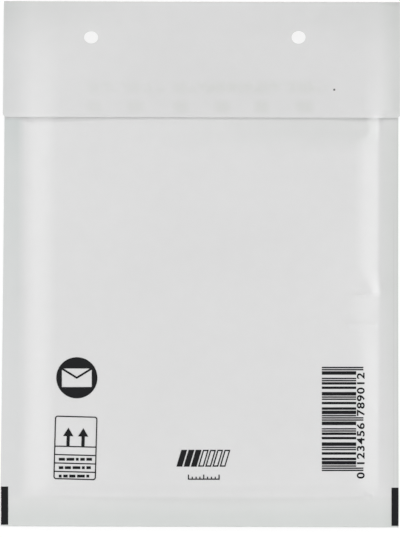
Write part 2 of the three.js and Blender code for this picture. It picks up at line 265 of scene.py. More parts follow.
# %% Waves, bubbles and puckers
BUBBLE_PITCH = 11.5 * MM
PUCKER_REACH = 3 * MM
PUCKER_LENGTH = 7 * MM
PUCKER_PLACE = 20 * MM
PUCKER_SEED = 5.3


def wave(x, y, length, height, seed):
    """A soft random wave of about that length and height. Each seed gives another wave."""
    return height * noise.noise(Vector((x / length, y / length, seed)))


def bubble_print(x, y):
    """1 over the middle of a bubble and 0 between bubbles, in a hexagonal pattern."""
    k = 2 * math.pi / BUBBLE_PITCH
    row = k * y * 2 / math.sqrt(3)
    total = math.cos(row) + math.cos(k * x + row / 2) + math.cos(k * x - row / 2)
    return clamp((total + 1.5) / 4.5)


def puckers(x, y, height):
    """Short ripples across the slope of the padding, just inside the side seams. The sides differ."""
    near = hump(SIDE_SEAM_X - abs(x), PUCKER_REACH, PUCKER_REACH)
    return near * wave(math.copysign(PUCKER_PLACE, x), y, PUCKER_LENGTH, height, PUCKER_SEED)


# %% Creases
# Each crease is a soft ridge from one point to another, in millimetres. A negative height is a groove.
PLY_CREASES = [
    {"start": (56.0, -11.6), "end": (72.0, -12.2), "width": 1.1, "height": 0.14},
    {"start": (63.5, -25.4), "end": (74.8, -26.2), "width": 1.1, "height": 0.5},
    {"start": (71.5, -59.0), "end": (75.0, -62.5), "width": 1.4, "height": 0.3},
    {"start": (71.6, -97.6), "end": (73.7, -98.5), "width": 0.8, "height": 0.4},
    {"start": (70.4, -98.2), "end": (73.0, -99.2), "width": 0.7, "height": -0.32},
]
FLAP_CREASES = [
    {"start": (42.6, 107.0), "end": (42.0, 101.5), "width": 1.5, "height": 0.37},
    {"start": (52.0, 109.0), "end": (47.5, 106.0), "width": 2.0, "height": -0.35},
    {"start": (46.5, 99.5), "end": (49.0, 93.5), "width": 1.0, "height": 0.23},
]
# Creases end at the seams, which are sealed flat.
CREASE_END_X = SIDE_SEAM_X + 0.6 * MM
CREASE_FADE = 1.6 * MM


def crease_height(x, y, creases):
    total = 0.0
    for crease in creases:
        ax, ay = (c * MM for c in crease["start"])
        bx, by = (c * MM for c in crease["end"])
        dx, dy = bx - ax, by - ay
        length = math.hypot(dx, dy)
        width = crease["width"] * MM
        along = ((x - ax) * dx + (y - ay) * dy) / length
        across = ((x - ax) * dy - (y - ay) * dx) / length / width
        past_end = max(0.0, -along, along - length) / width
        total += crease["height"] * MM * math.exp(-past_end**2 - across**2)
    return total * s_curve((CREASE_END_X - abs(x)) / CREASE_FADE)


# %% [markdown]
# ## The faces of the folded sheet
# These functions give the outer face of each part of the sheet: front ply, back ply and flap. The back
# ply rests on the table, so its details only lift it. The flap bridges the side seams, and it is
# straight where it leaves its fold. Its free edge curls down, most of all at the right corner, where
# it was pressed against the seam.

# %% The outline of the plies
PULL_IN = 1.0 * MM
SPREAD = 0.3 * MM
LEAN = 0.55 * MM
DIP = 0.25 * MM


def half_width(y):
    """The bottom is spread a little, and the padding draws the sides in towards the mouth."""
    up = clamp((y - BOTTOM_SEAM_Y) / (MOUTH_Y - BOTTOM_SEAM_Y))
    return HALF_WIDTH + SPREAD - PULL_IN * (1 - (1 - up) ** 2)


def askew(x, y, z):
    """The envelope lies slightly askew: its top further to the right, and its right side further down."""
    return x + LEAN * y / TOP_FOLD_Y, y - DIP * x / HALF_WIDTH, z


print("A ply is", round(2 * half_width(MOUTH_Y) / MM, 1), "mm wide at the mouth")

# %% Heights of the plies
SOFT_WAVE = {"length": 48 * MM, "height": 0.35 * MM, "seed": 1.7}
BACK_WAVE = {"length": 40 * MM, "height": 0.25 * MM, "seed": 9.1}
FRONT_PRINT = 0.03 * MM
BACK_PRINT = 0.05 * MM
LEFT_PUCKER = 0.06 * MM
RIGHT_PUCKER = 0.14 * MM
BACK_PUCKER = 0.16 * MM


def front_z(x, y):
    share = pad_share(x, y)
    soft = wave(x, y, **SOFT_WAVE) + FRONT_PRINT * (bubble_print(x, y) - 0.5)
    detail = share * soft + puckers(x, y, RIGHT_PUCKER if x > 0 else LEFT_PUCKER)
    detail += crease_height(x, y, PLY_CREASES)
    return MIDDLE_Z + swell(share) + OUTER + detail


def back_z(x, y):
    share = pad_share(x, y)
    lift = abs(wave(x, y, **BACK_WAVE)) + BACK_PRINT * (1 - bubble_print(x, y))
    lift += abs(puckers(x, y, BACK_PUCKER))
    return MIDDLE_Z - swell(share) - OUTER + lift * share


# %% The sides of the flap
LEFT_DROP = 3.3 * MM
LEFT_DROP_X = 60 * MM
LEFT_DROP_WIDTH = 19.5 * MM
LEFT_DROP_POWER = 0.8
RIGHT_DROP = 3.4 * MM
RIGHT_DROP_X = 69 * MM
RIGHT_DROP_WIDTH = 14 * MM
RIGHT_DROP_POWER = 1.3


def flap_drop(x, y):
    """How far the flap's sides bend down over the seams. They are still straight at the fold."""
    to_edge = clamp((TOP_FOLD_Y - y) / (TOP_FOLD_Y - FLAP_EDGE_Y))
    if x < 0:
        return LEFT_DROP * s_curve((-x - LEFT_DROP_X) / LEFT_DROP_WIDTH) * to_edge**LEFT_DROP_POWER
    return RIGHT_DROP * s_curve((x - RIGHT_DROP_X) / RIGHT_DROP_WIDTH) * to_edge**RIGHT_DROP_POWER


# %% Height of the flap
PRESS_DEPTH = 0.45 * MM
PRESS_WIDTH = 5 * MM
STRAIGHT_LENGTH = 24 * MM
EDGE_WAVE = {"length": 26 * MM, "height": 0.2 * MM, "seed": 4.4}
EDGE_WAVE_REACH = 9 * MM
EDGE_CURL = 0.2 * MM
CURL_REACH = 1.5 * MM
CORNER_TUCK = 1.2 * MM
TUCK_X = 77 * MM
TUCK_WIDTH = 3 * MM
openings = frame["record"]["physics"]["openings"]
hole_places = [Vector([(low + high) / 2 for low, high in zip(*opening["box_m"])]) for opening in openings]


def flap_z(x, y):
    """The flap's top face. The punch pressed it down round the holes."""
    level = MIDDLE_Z + swell(top_share(y)) + OUTER + FLAP_LIFT + PAPER
    from_fold = clamp((TOP_FOLD_Y - y) / STRAIGHT_LENGTH)
    side = s_curve((abs(x) - LEFT_DROP_X) / LEFT_DROP_WIDTH)
    soft = wave(x, y, **SOFT_WAVE) * (1 - side)
    edge_wave = wave(x, 0, **EDGE_WAVE) * hump(y, FLAP_EDGE_Y, EDGE_WAVE_REACH)
    pressed = sum(hump(math.hypot(x - place.x, y - place.y), 0, PRESS_WIDTH) for place in hole_places)
    tuck = CORNER_TUCK * hump(x, TUCK_X, TUCK_WIDTH)
    curl = (EDGE_CURL + tuck) * hump(y, FLAP_EDGE_Y, CURL_REACH)
    detail = soft * from_fold + max(0.0, edge_wave) - PRESS_DEPTH * pressed - curl
    return level - flap_drop(x, y) + detail + crease_height(x, y, FLAP_CREASES)


print("The flap's middle lies", round(flap_z(0, FLAP_EDGE_Y) / MM, 2), "mm above the table")

# %% [markdown]
# ## Folding the sheet
# The real sheet is cut flat, printed, laid round the film and folded. This one is made in the same way:
# a flat grid is the cut sheet, and each of its rows is moved to its place on the folded envelope.
# The rows run from the flap's free edge over the top fold, down the back ply, round the bottom fold and
# up the front ply to the mouth, so that the outer face stays outside.

# %% Steps along a line
def steps(start, end, count):
    return [start + (end - start) * k / count for k in range(count + 1)]


def graded(*stretches):
    """Places along a line. Each stretch gives its start and its number of steps, and the last its end."""
    places = []
    for (start, count), (end, _) in zip(stretches, stretches[1:]):
        places += steps(start * MM, end * MM, count)[:-1]
    return places + [stretches[-1][0] * MM]


# %% One row of each part
CORNER_RADIUS = 1.5 * MM
FLAP_TAPER = 0.25 * MM


def flap_row(u, y):
    """A row across the flap. u runs from -1 to 1, and the flap's free corners are rounded."""
    past = max(0.0, CORNER_RADIUS - (y - FLAP_EDGE_Y))
    taper = FLAP_TAPER * (y - FLAP_EDGE_Y) / (TOP_FOLD_Y - FLAP_EDGE_Y)
    x = u * (HALF_WIDTH - taper - CORNER_RADIUS + math.sqrt(CORNER_RADIUS**2 - past**2))
    return askew(x, y, flap_z(x, y))


def top_fold_row(u, angle):
    """A row of the fold, which joins the flap to the back ply in a flattened half circle."""
    down = 0.5 - angle / math.pi
    flap_half = HALF_WIDTH - FLAP_TAPER
    x = u * (flap_half + (half_width(FOLD_START_Y) - flap_half) * down)
    low = back_z(x, FOLD_START_Y)
    high = flap_z(x, FOLD_START_Y)
    y = FOLD_START_Y + FOLD_DEPTH * math.cos(angle)
    return askew(x, y, (low + high) / 2 + (high - low) / 2 * math.sin(angle))


def back_row(u, y):
    x = u * half_width(y)
    return askew(x, y, back_z(x, y))


def bottom_fold_row(u, angle):
    y = BOTTOM_FOLD_Y + SEAM_HALF * (1 - math.cos(angle))
    return askew(u * half_width(y), y, MIDDLE_Z + SEAM_HALF * math.sin(angle))


def front_row(u, y):
    x = u * half_width(y)
    return askew(x, y, front_z(x, y))


# %% All rows and columns
# Rows and columns lie closer together where the paper bends more.
QUARTER = math.pi / 2
BOTTOM_Y = BOTTOM_FOLD_Y + SEAM_HALF
CORNER_ROWS = 4
FLAP_ROWS = 30
TOP_FOLD_ROWS = 12
BACK_ROWS = 60
BOTTOM_FOLD_ROWS = 8
bottom = BOTTOM_Y / MM
mouth = MOUTH_Y / MM
corner_angles = [QUARTER * k / CORNER_ROWS for k in range(CORNER_ROWS)]
edge_rows = [FLAP_EDGE_Y + CORNER_RADIUS * (1 - math.cos(angle)) for angle in corner_angles]
flap_rows = edge_rows + steps(FLAP_EDGE_Y + CORNER_RADIUS, FOLD_START_Y, FLAP_ROWS)
front_rows = graded((bottom, 12), (-100, 11), (-92, 40), (-28, 40), (2, 38), (60, 14), (mouth, 0))
ROWS = (
    [(flap_row, y) for y in flap_rows]
    + [(top_fold_row, angle) for angle in steps(QUARTER, -QUARTER, TOP_FOLD_ROWS)[1:-1]]
    + [(back_row, y) for y in steps(FOLD_START_Y, BOTTOM_Y, BACK_ROWS)]
    + [(bottom_fold_row, angle) for angle in steps(-QUARTER, QUARTER, BOTTOM_FOLD_ROWS)[1:-1]]
    + [(front_row, y) for y in front_rows]
)
COLUMNS = [x / HALF_WIDTH for x in graded((-85, 6), (-78, 26), (-56, 42), (56, 34), (78, 8), (85, 0))]
print("The sheet is folded in", len(ROWS), "rows of", len(COLUMNS), "places")

# %% Cut the sheet and fold it
def folded_paper():
    last_row, last_column = len(ROWS) - 1, len(COLUMNS) - 1
    bpy.ops.mesh.primitive_grid_add(x_subdivisions=last_column, y_subdivisions=last_row, size=2)
    sheet = bpy.context.object
    sheet.name = "folded_paper"
    for vertex in sheet.data.vertices:
        column = COLUMNS[round((vertex.co.x + 1) / 2 * last_column)]
        fold, where = ROWS[round((vertex.co.y + 1) / 2 * last_row)]
        vertex.co = fold(column, where)
    return sheet


paper = folded_paper()

# %% [markdown]
# ## Thickness and the punched holes
# Solidify gives the sheet its thickness, to the inside. The two holes are cut by a boolean with pins.
# The punch went through a soft stack that sprang back, so the holes are a little flatter than circles.
# The plies gave way sideways under the punch, so their holes came out slightly larger than the flap's.

# %% Thicken and punch
HOLE_SIZES = [(6.0 * MM, 5.1 * MM), (5.9 * MM, 5.4 * MM)]
HOLE_DROP = 0.1 * MM
PLY_GIVE = 0.35 * MM
PIN_LENGTH = 20 * MM


def pins(name, side, give):
    """Pins at the holes, up (side 1) or down (side -1) from between the flap and the front ply."""
    made = []
    for place, (width, height) in zip(hole_places, HOLE_SIZES):
        between = (front_z(place.x, place.y) + flap_z(place.x, place.y) - PAPER) / 2
        bpy.ops.mesh.primitive_cylinder_add(
            vertices=64,
            radius=0.5,
            depth=1,
            location=(place.x, place.y - HOLE_DROP, between + side * PIN_LENGTH / 2),
            scale=(width + 2 * give, height + 2 * give, PIN_LENGTH),
        )
        made.append(bpy.context.object)
    pin = join(made, name)
    place_in_mesh(pin)
    return pin


flap_pins = pins("flap_pins", 1, 0)
ply_pins = pins("ply_pins", -1, PLY_GIVE)
apply_modifier(paper, "SOLIDIFY", thickness=PAPER, offset=-1)
for pin in (flap_pins, ply_pins):
    apply_modifier(paper, "BOOLEAN", object=pin, operation="DIFFERENCE", solver="MANIFOLD")
print("The paper has", len(paper.data.polygons), "faces after punching")

# %% [markdown]
# ## The bubble film
# The lining is two walls of film, sealed together in the seams. Each wall is a flat film with round
# bubbles of about 10 mm on it, which stand against the paper. One low dome is modelled, and copied to
# each place of a staggered pattern. Then each point is squeezed to the room that it has under the
# paper. Bubbles that a punch hit are flat, so they are left out.

# %% One bubble
BUBBLE_RADIUS = 4.9 * MM
DOME_POWER = 0.6


def bubble():
    """A low dome of height 1, without its flat underside."""
    bpy.ops.mesh.primitive_uv_sphere_add(segments=10, ring_count=8, radius=1)
    dome = bpy.context.object
    bpy.ops.object.mode_set(mode="EDIT")
    bpy.ops.mesh.select_all(action="SELECT")
    bpy.ops.mesh.bisect(plane_co=(0, 0, 0), plane_no=(0, 0, 1), clear_inner=True, threshold=1e-5)
    bpy.ops.object.mode_set(mode="OBJECT")
    for vertex in dome.data.vertices:
        vertex.co.z = vertex.co.z**DOME_POWER if vertex.co.z > 0 else 0
        vertex.co.x *= BUBBLE_RADIUS
        vertex.co.y *= BUBBLE_RADIUS
    return dome


# %% Where bubbles are
ROW_PITCH = BUBBLE_PITCH * math.sqrt(3) / 2
BUBBLE_MARGIN = 5.5 * MM


def bubble_centres():
    """Places in a hexagonal pattern that clear the seams, the mouth and the punched holes."""
    reach_x = SIDE_SEAM_X - BUBBLE_MARGIN
    low_y, high_y = BOTTOM_SEAM_Y + BUBBLE_MARGIN, MOUTH_Y - BUBBLE_MARGIN
    clear = BUBBLE_RADIUS + max(max(size) for size in HOLE_SIZES) / 2 + 2 * PLY_GIVE
    count = int((high_y - low_y) / ROW_PITCH) + 1
    for row in range(count):
        y = low_y + row * ROW_PITCH
        first = -reach_x + (row % 2) * BUBBLE_PITCH / 2
        for k in range(int((reach_x - first) / BUBBLE_PITCH) + 1):
            x = first + k * BUBBLE_PITCH
            if all(math.hypot(x - place.x, y - place.y) > clear for place in hole_places):
                yield x, y


print("A wall has", len(list(bubble_centres())), "bubbles")

# %% The two walls of film
FILM = 0.08 * MM
SEALED_WALL = 0.13 * MM
POCKET_HALF = 0.5 * MM
BUBBLE_GAP = 0.3 * MM
FILM_SETBACK = 0.6 * MM
FILM_COLUMNS = 64
FILM_ROWS = 88


def wall_height(share):
    """How far the flat side of a film wall lies from the middle plane."""
    return SEALED_WALL + (POCKET_HALF + FILM - SEALED_WALL) * share


def flip(piece):
    """Turns a piece's faces to the other side."""
    select_only(piece)
    bpy.ops.object.mode_set(mode="EDIT")
    bpy.ops.mesh.select_all(action="SELECT")
    bpy.ops.mesh.flip_normals()
    bpy.ops.object.mode_set(mode="OBJECT")


def film_sheet(side):
    """The flat film of the wall above (side 1) or below (side -1) the pocket, with its punched holes."""
    bpy.ops.mesh.primitive_grid_add(x_subdivisions=FILM_COLUMNS, y_subdivisions=FILM_ROWS, size=2)
    sheet = bpy.context.object
    for vertex in sheet.data.vertices:
        y = film_low.y + (film_high.y - film_low.y) * (vertex.co.y + 1) / 2
        x = vertex.co.x * (half_width(y) - FILM_SETBACK)
        vertex.co = askew(x, y, MIDDLE_Z + side * wall_height(pad_share(x, y)))
    if side < 0:
        flip(sheet)
    apply_modifier(sheet, "SOLIDIFY", thickness=FILM, offset=-1)
    apply_modifier(sheet, "BOOLEAN", object=ply_pins, operation="DIFFERENCE", solver="MANIFOLD")
    return sheet


def bubbles(side):
    """All bubbles of one wall, each squeezed to the room that it has under the paper."""
    dome = bubble()
    domes = []
    for x, y in bubble_centres():
        copied = dome.copy()
        copied.data = dome.data.copy()
        copied.location = (x, y, 0)
        bpy.context.collection.objects.link(copied)
        domes.append(copied)
    bpy.data.objects.remove(dome)
    wall = join(domes, "bubbles")
    place_in_mesh(wall)
    for vertex in wall.data.vertices:
        share = pad_share(vertex.co.x, vertex.co.y)
        low = wall_height(share) - FILM / 2
        high = max(low, swell(share) - BUBBLE_GAP)
        vertex.co.z = MIDDLE_Z + side * (low + vertex.co.z * (high - low))
    if side < 0:
        flip(wall)
    apply_modifier(wall, "SOLIDIFY", thickness=FILM, offset=-1)
    return wall


lining = join([film_sheet(1), film_sheet(-1), bubbles(1), bubbles(-1)], "bubble_film")
print("The film has", len(lining.data.polygons), "faces")

# %% [markdown]
# ## Glue and release liner
# A stripe of glue runs along the flap, under a strip of release paper. Both are thin strips that hang
# from the flap's underside, so they take its shape. Only their ends show, seen from the side.

# %% Strips under the flap
GLUE = 0.15 * MM
LINER = 0.15 * MM
STRIP_GAP = 0.05 * MM
STRIP_COLUMNS = 100
STRIP_ROWS = 8


def strip(name, low, high, depth, thickness):
    """A strip that lies a given depth under the flap's top face."""
    bpy.ops.mesh.primitive_grid_add(x_subdivisions=STRIP_COLUMNS, y_subdivisions=STRIP_ROWS, size=2)
    piece = bpy.context.object
    piece.name = name
    for vertex in piece.data.vertices:
        x = low.x + (high.x - low.x) * (vertex.co.x + 1) / 2
        y = low.y + (high.y - low.y) * (vertex.co.y + 1) / 2
        vertex.co = (x, y, flap_z(x, y) - depth)
    apply_modifier(piece, "SOLIDIFY", thickness=thickness, offset=-1)
    return piece


glue_depth = PAPER + STRIP_GAP
liner_depth = glue_depth + GLUE + STRIP_GAP
glue = strip("glue_stripe", glue_low, glue_high, glue_depth, GLUE)
liner = strip("liner_strip", liner_low, liner_high, liner_depth, LINER)
print("The liner lies", round(liner_depth / MM, 2), "mm under the top face of the flap")

# %% [markdown]
# ## Black print
# Ink has no thickness to speak of, but a print that is laid on as its own thin mesh stays crisp at any
# distance. Each print is made flat over the paper, dropped onto it by a Shrinkwrap along Z, and
# given the thickness of a thin skin. The corner marks, the form and the ticks are copies of the packed
# prints, which keep their top faces and are divided finely enough to follow the paper. The other prints
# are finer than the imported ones, so they are built anew in the same places.

# %% Dropping ink onto the paper
INK = 0.04 * MM
INK_GAP = 0.03 * MM
INK_STEP = 1.5 * MM
OVER_PAPER = 2 * MM


def divide(piece, step):
    """Cuts a flat piece along a square net, so that it can follow the paper."""
    low = [min(vertex.co[axis] for vertex in piece.data.vertices) for axis in (0, 1)]
    high = [max(vertex.co[axis] for vertex in piece.data.vertices) for axis in (0, 1)]
    select_only(piece)
    bpy.ops.object.mode_set(mode="EDIT")
    for axis in (0, 1):
        normal = (1 - axis, axis, 0)
        for k in range(1, math.ceil((high[axis] - low[axis]) / step)):
            cut = [0, 0, 0]
            cut[axis] = low[axis] + k * step
            bpy.ops.mesh.select_all(action="SELECT")
            bpy.ops.mesh.bisect(plane_co=cut, plane_no=normal, threshold=1e-6)
    bpy.ops.object.mode_set(mode="OBJECT")


def keep_top(piece):
    """Leaves only the faces that look up."""
    select_only(piece)
    bpy.ops.object.mode_set(mode="EDIT")
    bpy.ops.mesh.select_mode(type="FACE")
    bpy.ops.mesh.select_all(action="DESELECT")
    bpy.ops.object.mode_set(mode="OBJECT")
    for face in piece.data.polygons:
        face.select = face.normal.z < 0.5
    bpy.ops.object.mode_set(mode="EDIT")
    bpy.ops.mesh.delete(type="FACE")
    bpy.ops.object.mode_set(mode="OBJECT")


def lay_on_paper(piece, name):
    piece.name = name
    piece.data.name = name
    apply_modifier(
        piece,
        "SHRINKWRAP",
        target=paper,
        wrap_method="PROJECT",
        use_project_z=True,
        use_negative_direction=True,
        use_positive_direction=False,
        offset=INK_GAP,
    )
    apply_modifier(piece, "SOLIDIFY", thickness=INK, offset=1)
    return piece


def printed_copy(node, name, turn=0, shift=(0, 0)):
    """The top faces of a packed print, turned in place by some degrees and laid on the paper."""
    low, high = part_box(node)
    copied = bpy.data.objects.new(name, frame["nodes"][node].data.copy())
    bpy.context.collection.objects.link(copied)
    select_only(copied)
    bpy.ops.object.mode_set(mode="EDIT")
    bpy.ops.mesh.select_mode(type="VERT")
    bpy.ops.mesh.select_all(action="SELECT")
    bpy.ops.mesh.remove_doubles(threshold=0.001 * MM)
    bpy.ops.transform.rotate(value=math.radians(turn), orient_axis="Z", center_override=(low + high) / 2)
    bpy.ops.transform.translate(value=(*shift, OVER_PAPER))
    bpy.ops.object.mode_set(mode="OBJECT")
    keep_top(copied)
    divide(copied, INK_STEP)
    return lay_on_paper(copied, name)


# %% Copied prints
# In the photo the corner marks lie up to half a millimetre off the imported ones, and the form is askew.
MARK_SHIFT_LEFT = (-0.45 * MM, 0.5 * MM)
MARK_SHIFT_RIGHT = (-0.3 * MM, 0)
FORM_TURN = 1.5
prints = {
    "corner_mark_left": printed_copy("corner_mark_left", "corner_ink_left", shift=MARK_SHIFT_LEFT),
    "corner_mark_right": printed_copy("corner_mark_right", "corner_ink_right", shift=MARK_SHIFT_RIGHT),
    "printed_form": printed_copy("printed_form", "form_ink", turn=FORM_TURN),
    "tick_row": printed_copy("tick_row", "tick_ink"),
}

# %% The round mark
MARK_RIM = 2.4 * MM
MARK_TOP = 0.62
LINE = 0.5 * MM
BOLD_LINE = 1.6 * LINE


def round_mark():
    """A round disc with a small envelope left blank in it, and the two lines of that envelope's flap."""
    low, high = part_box("round_mark")
    centre = Vector(((low.x + high.x) / 2, (low.y + high.y) / 2, high.z + OVER_PAPER))
    radius = (high.x - low.x) / 2
    side = radius - MARK_RIM
    top = MARK_TOP * side
    bpy.ops.mesh.primitive_cylinder_add(vertices=96, radius=radius, depth=1 * MM, location=centre)
    disc = bpy.context.object
    place_in_mesh(disc)
    bpy.ops.mesh.primitive_cube_add(size=1, location=centre, scale=(2 * side, 2 * top, 2 * MM))
    blank = bpy.context.object
    apply_modifier(disc, "BOOLEAN", object=blank, operation="DIFFERENCE", solver="MANIFOLD")
    bpy.data.objects.remove(blank)
    for way in (-1, 1):
        middle = centre + Vector((way * side / 2, top / 2, 0))
        slope = math.atan2(top, side) * way
        long = math.hypot(side, top) + LINE
        bpy.ops.mesh.primitive_cube_add(
            size=1, location=middle, rotation=(0, 0, slope), scale=(long, BOLD_LINE, 1 * MM)
        )
        line = bpy.context.object
        apply_modifier(disc, "BOOLEAN", object=line, operation="UNION", solver="MANIFOLD")
        bpy.data.objects.remove(line)
    keep_top(disc)
    divide(disc, INK_STEP)
    return lay_on_paper(disc, "round_ink")


prints["round_mark"] = round_mark()

# %% [markdown]
# ## The block of bars
# On a real envelope each bar stands alone. Such blocks have a pair of thin guard bars, which reach
# further, at both ends and in the middle. The widths of the others follow a short rule and encode
# nothing, and the figures beside them just count up. The row of leaning bars and the dashes in the form
# are made of the same flat bars.

# %% Bars of uneven width
MODULES = 95
GUARD_STARTS = [0, 2, 46, 48, 92, 94]
STRETCHES = [(4, 45), (50, 91)]
GUARD_REACH = 3.1 * MM
INK_SPREAD = 0.05 * MM
BAR_COLUMNS = 12
BAR_ROWS = 4
bars_low, bars_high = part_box("printed_bars")


def bars_between(first, last):
    """Start and thickness in modules of the uneven bars from first up to last."""
    rows = []
    start = first
    while start < last:
        k = len(rows)
        thickness = min(1 + 7 * k % 5 % 3, last - start)
        rows.append((start, thickness))
        start += thickness + 1 + 3 * k % 4 % 3
    return rows


def bar(x_low, x_high, y_low, y_high):
    """A flat bar above the paper, divided so that it can follow it."""
    centre = ((x_low + x_high) / 2, (y_low + y_high) / 2, paper_high.z + OVER_PAPER)
    bpy.ops.mesh.primitive_grid_add(
        x_subdivisions=BAR_COLUMNS, y_subdivisions=BAR_ROWS, size=1, location=centre
    )
    made = bpy.context.object
    made.scale = (x_high - x_low, y_high - y_low, 1)
    place_in_mesh(made)
    return made


def printed_bars():
    """The whole block. Each bar is a little wider than drawn, as ink spreads."""
    bars = [(start, 1) for start in GUARD_STARTS]
    for first, last in STRETCHES:
        bars += bars_between(first, last)
    module = (bars_high.y - bars_low.y) / MODULES
    made = []
    for start, thickness in bars:
        right = bars_high.x if start in GUARD_STARTS else bars_high.x - GUARD_REACH
        low = bars_low.y + start * module
        made.append(bar(bars_low.x, right, low - INK_SPREAD, low + thickness * module + INK_SPREAD))
    return lay_on_paper(join(made, "bars_ink"), "bars_ink")


prints["printed_bars"] = printed_bars()

# %% A row of leaning bars
LEANING_BARS = 7
FULL_BARS = 3
INK_SHARE = 0.8
SLANT = 0.3
OUTLINE = 0.55 * MM


def leaning_bars():
    """Some full bars, then some outlined ones. They are made upright, and their tops are pushed over."""
    low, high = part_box("slanted_bars")
    push = SLANT * (high.y - low.y)
    pitch = (high.x - low.x - push) / (LEANING_BARS - 1 + INK_SHARE)
    made = []
    for k in range(LEANING_BARS):
        left = low.x + push / 2 + k * pitch
        right = left + INK_SHARE * pitch
        if k < FULL_BARS:
            made.append(bar(left, right, low.y, high.y))
        else:
            made.append(bar(left, right, low.y, low.y + OUTLINE))
            made.append(bar(left, right, high.y - OUTLINE, high.y))
            made.append(bar(left, left + OUTLINE, low.y + OUTLINE, high.y - OUTLINE))
            made.append(bar(right - OUTLINE, right, low.y + OUTLINE, high.y - OUTLINE))
    row = join(made, "slanted_ink")
    for vertex in row.data.vertices:
        vertex.co.x += SLANT * (vertex.co.y - (low.y + high.y) / 2)
    return lay_on_paper(row, "slanted_ink")


prints["slanted_bars"] = leaning_bars()

# %% Figures beside the bars
FIGURE_HEIGHT = 3.15 * MM
FIGURE_STRETCH = 1.25
CAP_SHARE = 0.7
# A share of the size. At some other values the outline of the 9 crosses itself and loses its fill.
FIGURE_BOLD = 0.02
FIGURE_X = bars_high.x + 0.4 * MM
FIGURE_SPACING = 1.13
FIGURES = [("0", -90.4 * MM), ("123456", -77.2 * MM), ("789012", -55.7 * MM)]
FIGURE_STEP = FIGURE_HEIGHT / 5


def figures():
    """Plain counting figures that read upwards along the block of bars."""
    size = FIGURE_HEIGHT / CAP_SHARE
    made = []
    for text, y in FIGURES:
        place = (FIGURE_X, y, paper_high.z + OVER_PAPER)
        bpy.ops.object.text_add(location=place, rotation=(0, 0, QUARTER))
        words = bpy.context.object
        words.data.body = text
        words.data.offset = FIGURE_BOLD
        words.data.space_character = FIGURE_SPACING
        words.scale = (FIGURE_STRETCH * size, size, size)
        words.data.align_x = "CENTER"
        select_only(words)
        bpy.ops.object.convert(target="MESH")
        made.append(bpy.context.object)
    joined = join(made, "figures_ink")
    place_in_mesh(joined)
    divide(joined, FIGURE_STEP)
    return lay_on_paper(joined, "figures_ink")


figures_ink = figures()

# %% Rows of dashes in the form
FORM_ROWS = 3
FORM_PITCH = 3.6 * MM
FORM_MARGIN = 2 * MM
DASH_HEIGHT = 1.2 * MM
DASH_GAP = 0.7 * MM
SHORTEST_DASH = 1.2 * MM
DASH_STEP = 0.7 * MM
ROOM_FOR_DASH = 1 * MM


def form_dashes():
    """Blocks of uneven length that stand for small print, in the form's three lower rows."""
    low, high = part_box("printed_form")
    end = high.x - FORM_MARGIN
    made = []
    for row in range(FORM_ROWS):
        left = low.x + FORM_MARGIN
        middle = low.y + (row + 0.5) * FORM_PITCH - LINE / 2
        k = row
        while left < end - ROOM_FOR_DASH:
            right = min(left + SHORTEST_DASH + DASH_STEP * (5 * k % 4), end)
            made.append(bar(left, right, middle - DASH_HEIGHT / 2, middle + DASH_HEIGHT / 2))
            left = right + DASH_GAP
            k += 1
    return lay_on_paper(join(made, "small_print_ink"), "small_print_ink")


dashes_ink = form_dashes()

# %% [markdown]
# ## Colours and nodes
# Colours are written as sRGB hex codes, as a paint program shows them, and one function turns them into
# the linear values that shaders take. One more function adds a node with its settings and links.
# Each paper, film or ink ends in the same way: its colour and a fine bump go into one shader.

# %% Colour and node helpers
def linear(code):
    channels = [int(code[k : k + 2], 16) / 255 for k in (1, 3, 5)]
    return [c / 12.92 if c <= 0.04045 else ((c + 0.055) / 1.055) ** 2.4 for c in channels] + [1.0]


def add_node(tree, kind, inputs=None, **properties):
    """Adds a node. inputs gives its sockets a value, an output, or a node whose first output is meant."""
    node = tree.nodes.new(kind)
    for name, value in properties.items():
        setattr(node, name, value)
    for name, value in (inputs or {}).items():
        if isinstance(value, bpy.types.Node):
            value = value.outputs[0]
        if isinstance(value, bpy.types.NodeSocket):
            tree.links.new(value, node.inputs[name])
        else:
            node.inputs[name].default_value = value
    return node


def new_material(name):
    """A material with only an output node. Returns it with its node tree and the output."""
    material = bpy.data.materials.new(name)
    material.use_nodes = True
    tree = material.node_tree
    tree.nodes.clear()
    return material, tree, add_node(tree, "ShaderNodeOutputMaterial")


def surface(tree, output, tone, relief, depth, strength, look):
    """Ends a material: a shader with this tone, a bump of that depth, and the other settings in look."""
    bump = add_node(tree, "ShaderNodeBump", {"Height": relief, "Distance": depth, "Strength": strength})
    shader = add_node(tree, "ShaderNodeBsdfPrincipled", {"Base Color": tone, "Normal": bump, **look})
    tree.links.new(shader.outputs[0], output.inputs["Surface"])


def wear(piece, material):
    piece.data.materials.clear()
    piece.data.materials.append(material)


# %% [markdown]
# ## White kraft paper
# The cover is bleached kraft paper, smoothed on one side. Its white is a pale cool grey with soft
# clouds a few millimetres wide, which papermakers call formation, and fibres too fine to see one by
# one. In the seams the paper is a touch darker, partly its own tone over the flat film and partly
# painted shade beside the pad. Further tints paint shade: the flap's shadow on the seam and the ply
# below it, the foot of the right slope, the outer right seam and the flap's left side. The glue and
# liner under the flap show through it as two faint rows of marks. The rest is chance: the line of the
# sealing bar, the cut edge, and one dark fleck in the pulp.
# Each of these is a tint with a mask, which is 1 where the tint is full and 0 where there is none.

# %% Masks and noise
MIX_A = 6
MIX_B = 7
MIX_RESULT = 2


def ramp(tree, value, low, high, at_low=0.0, at_high=1.0):
    """Runs from at_low to at_high as value goes from low to high."""
    inputs = {"Value": value, "From Min": low, "From Max": high, "To Min": at_low, "To Max": at_high}
    return add_node(tree, "ShaderNodeMapRange", inputs)


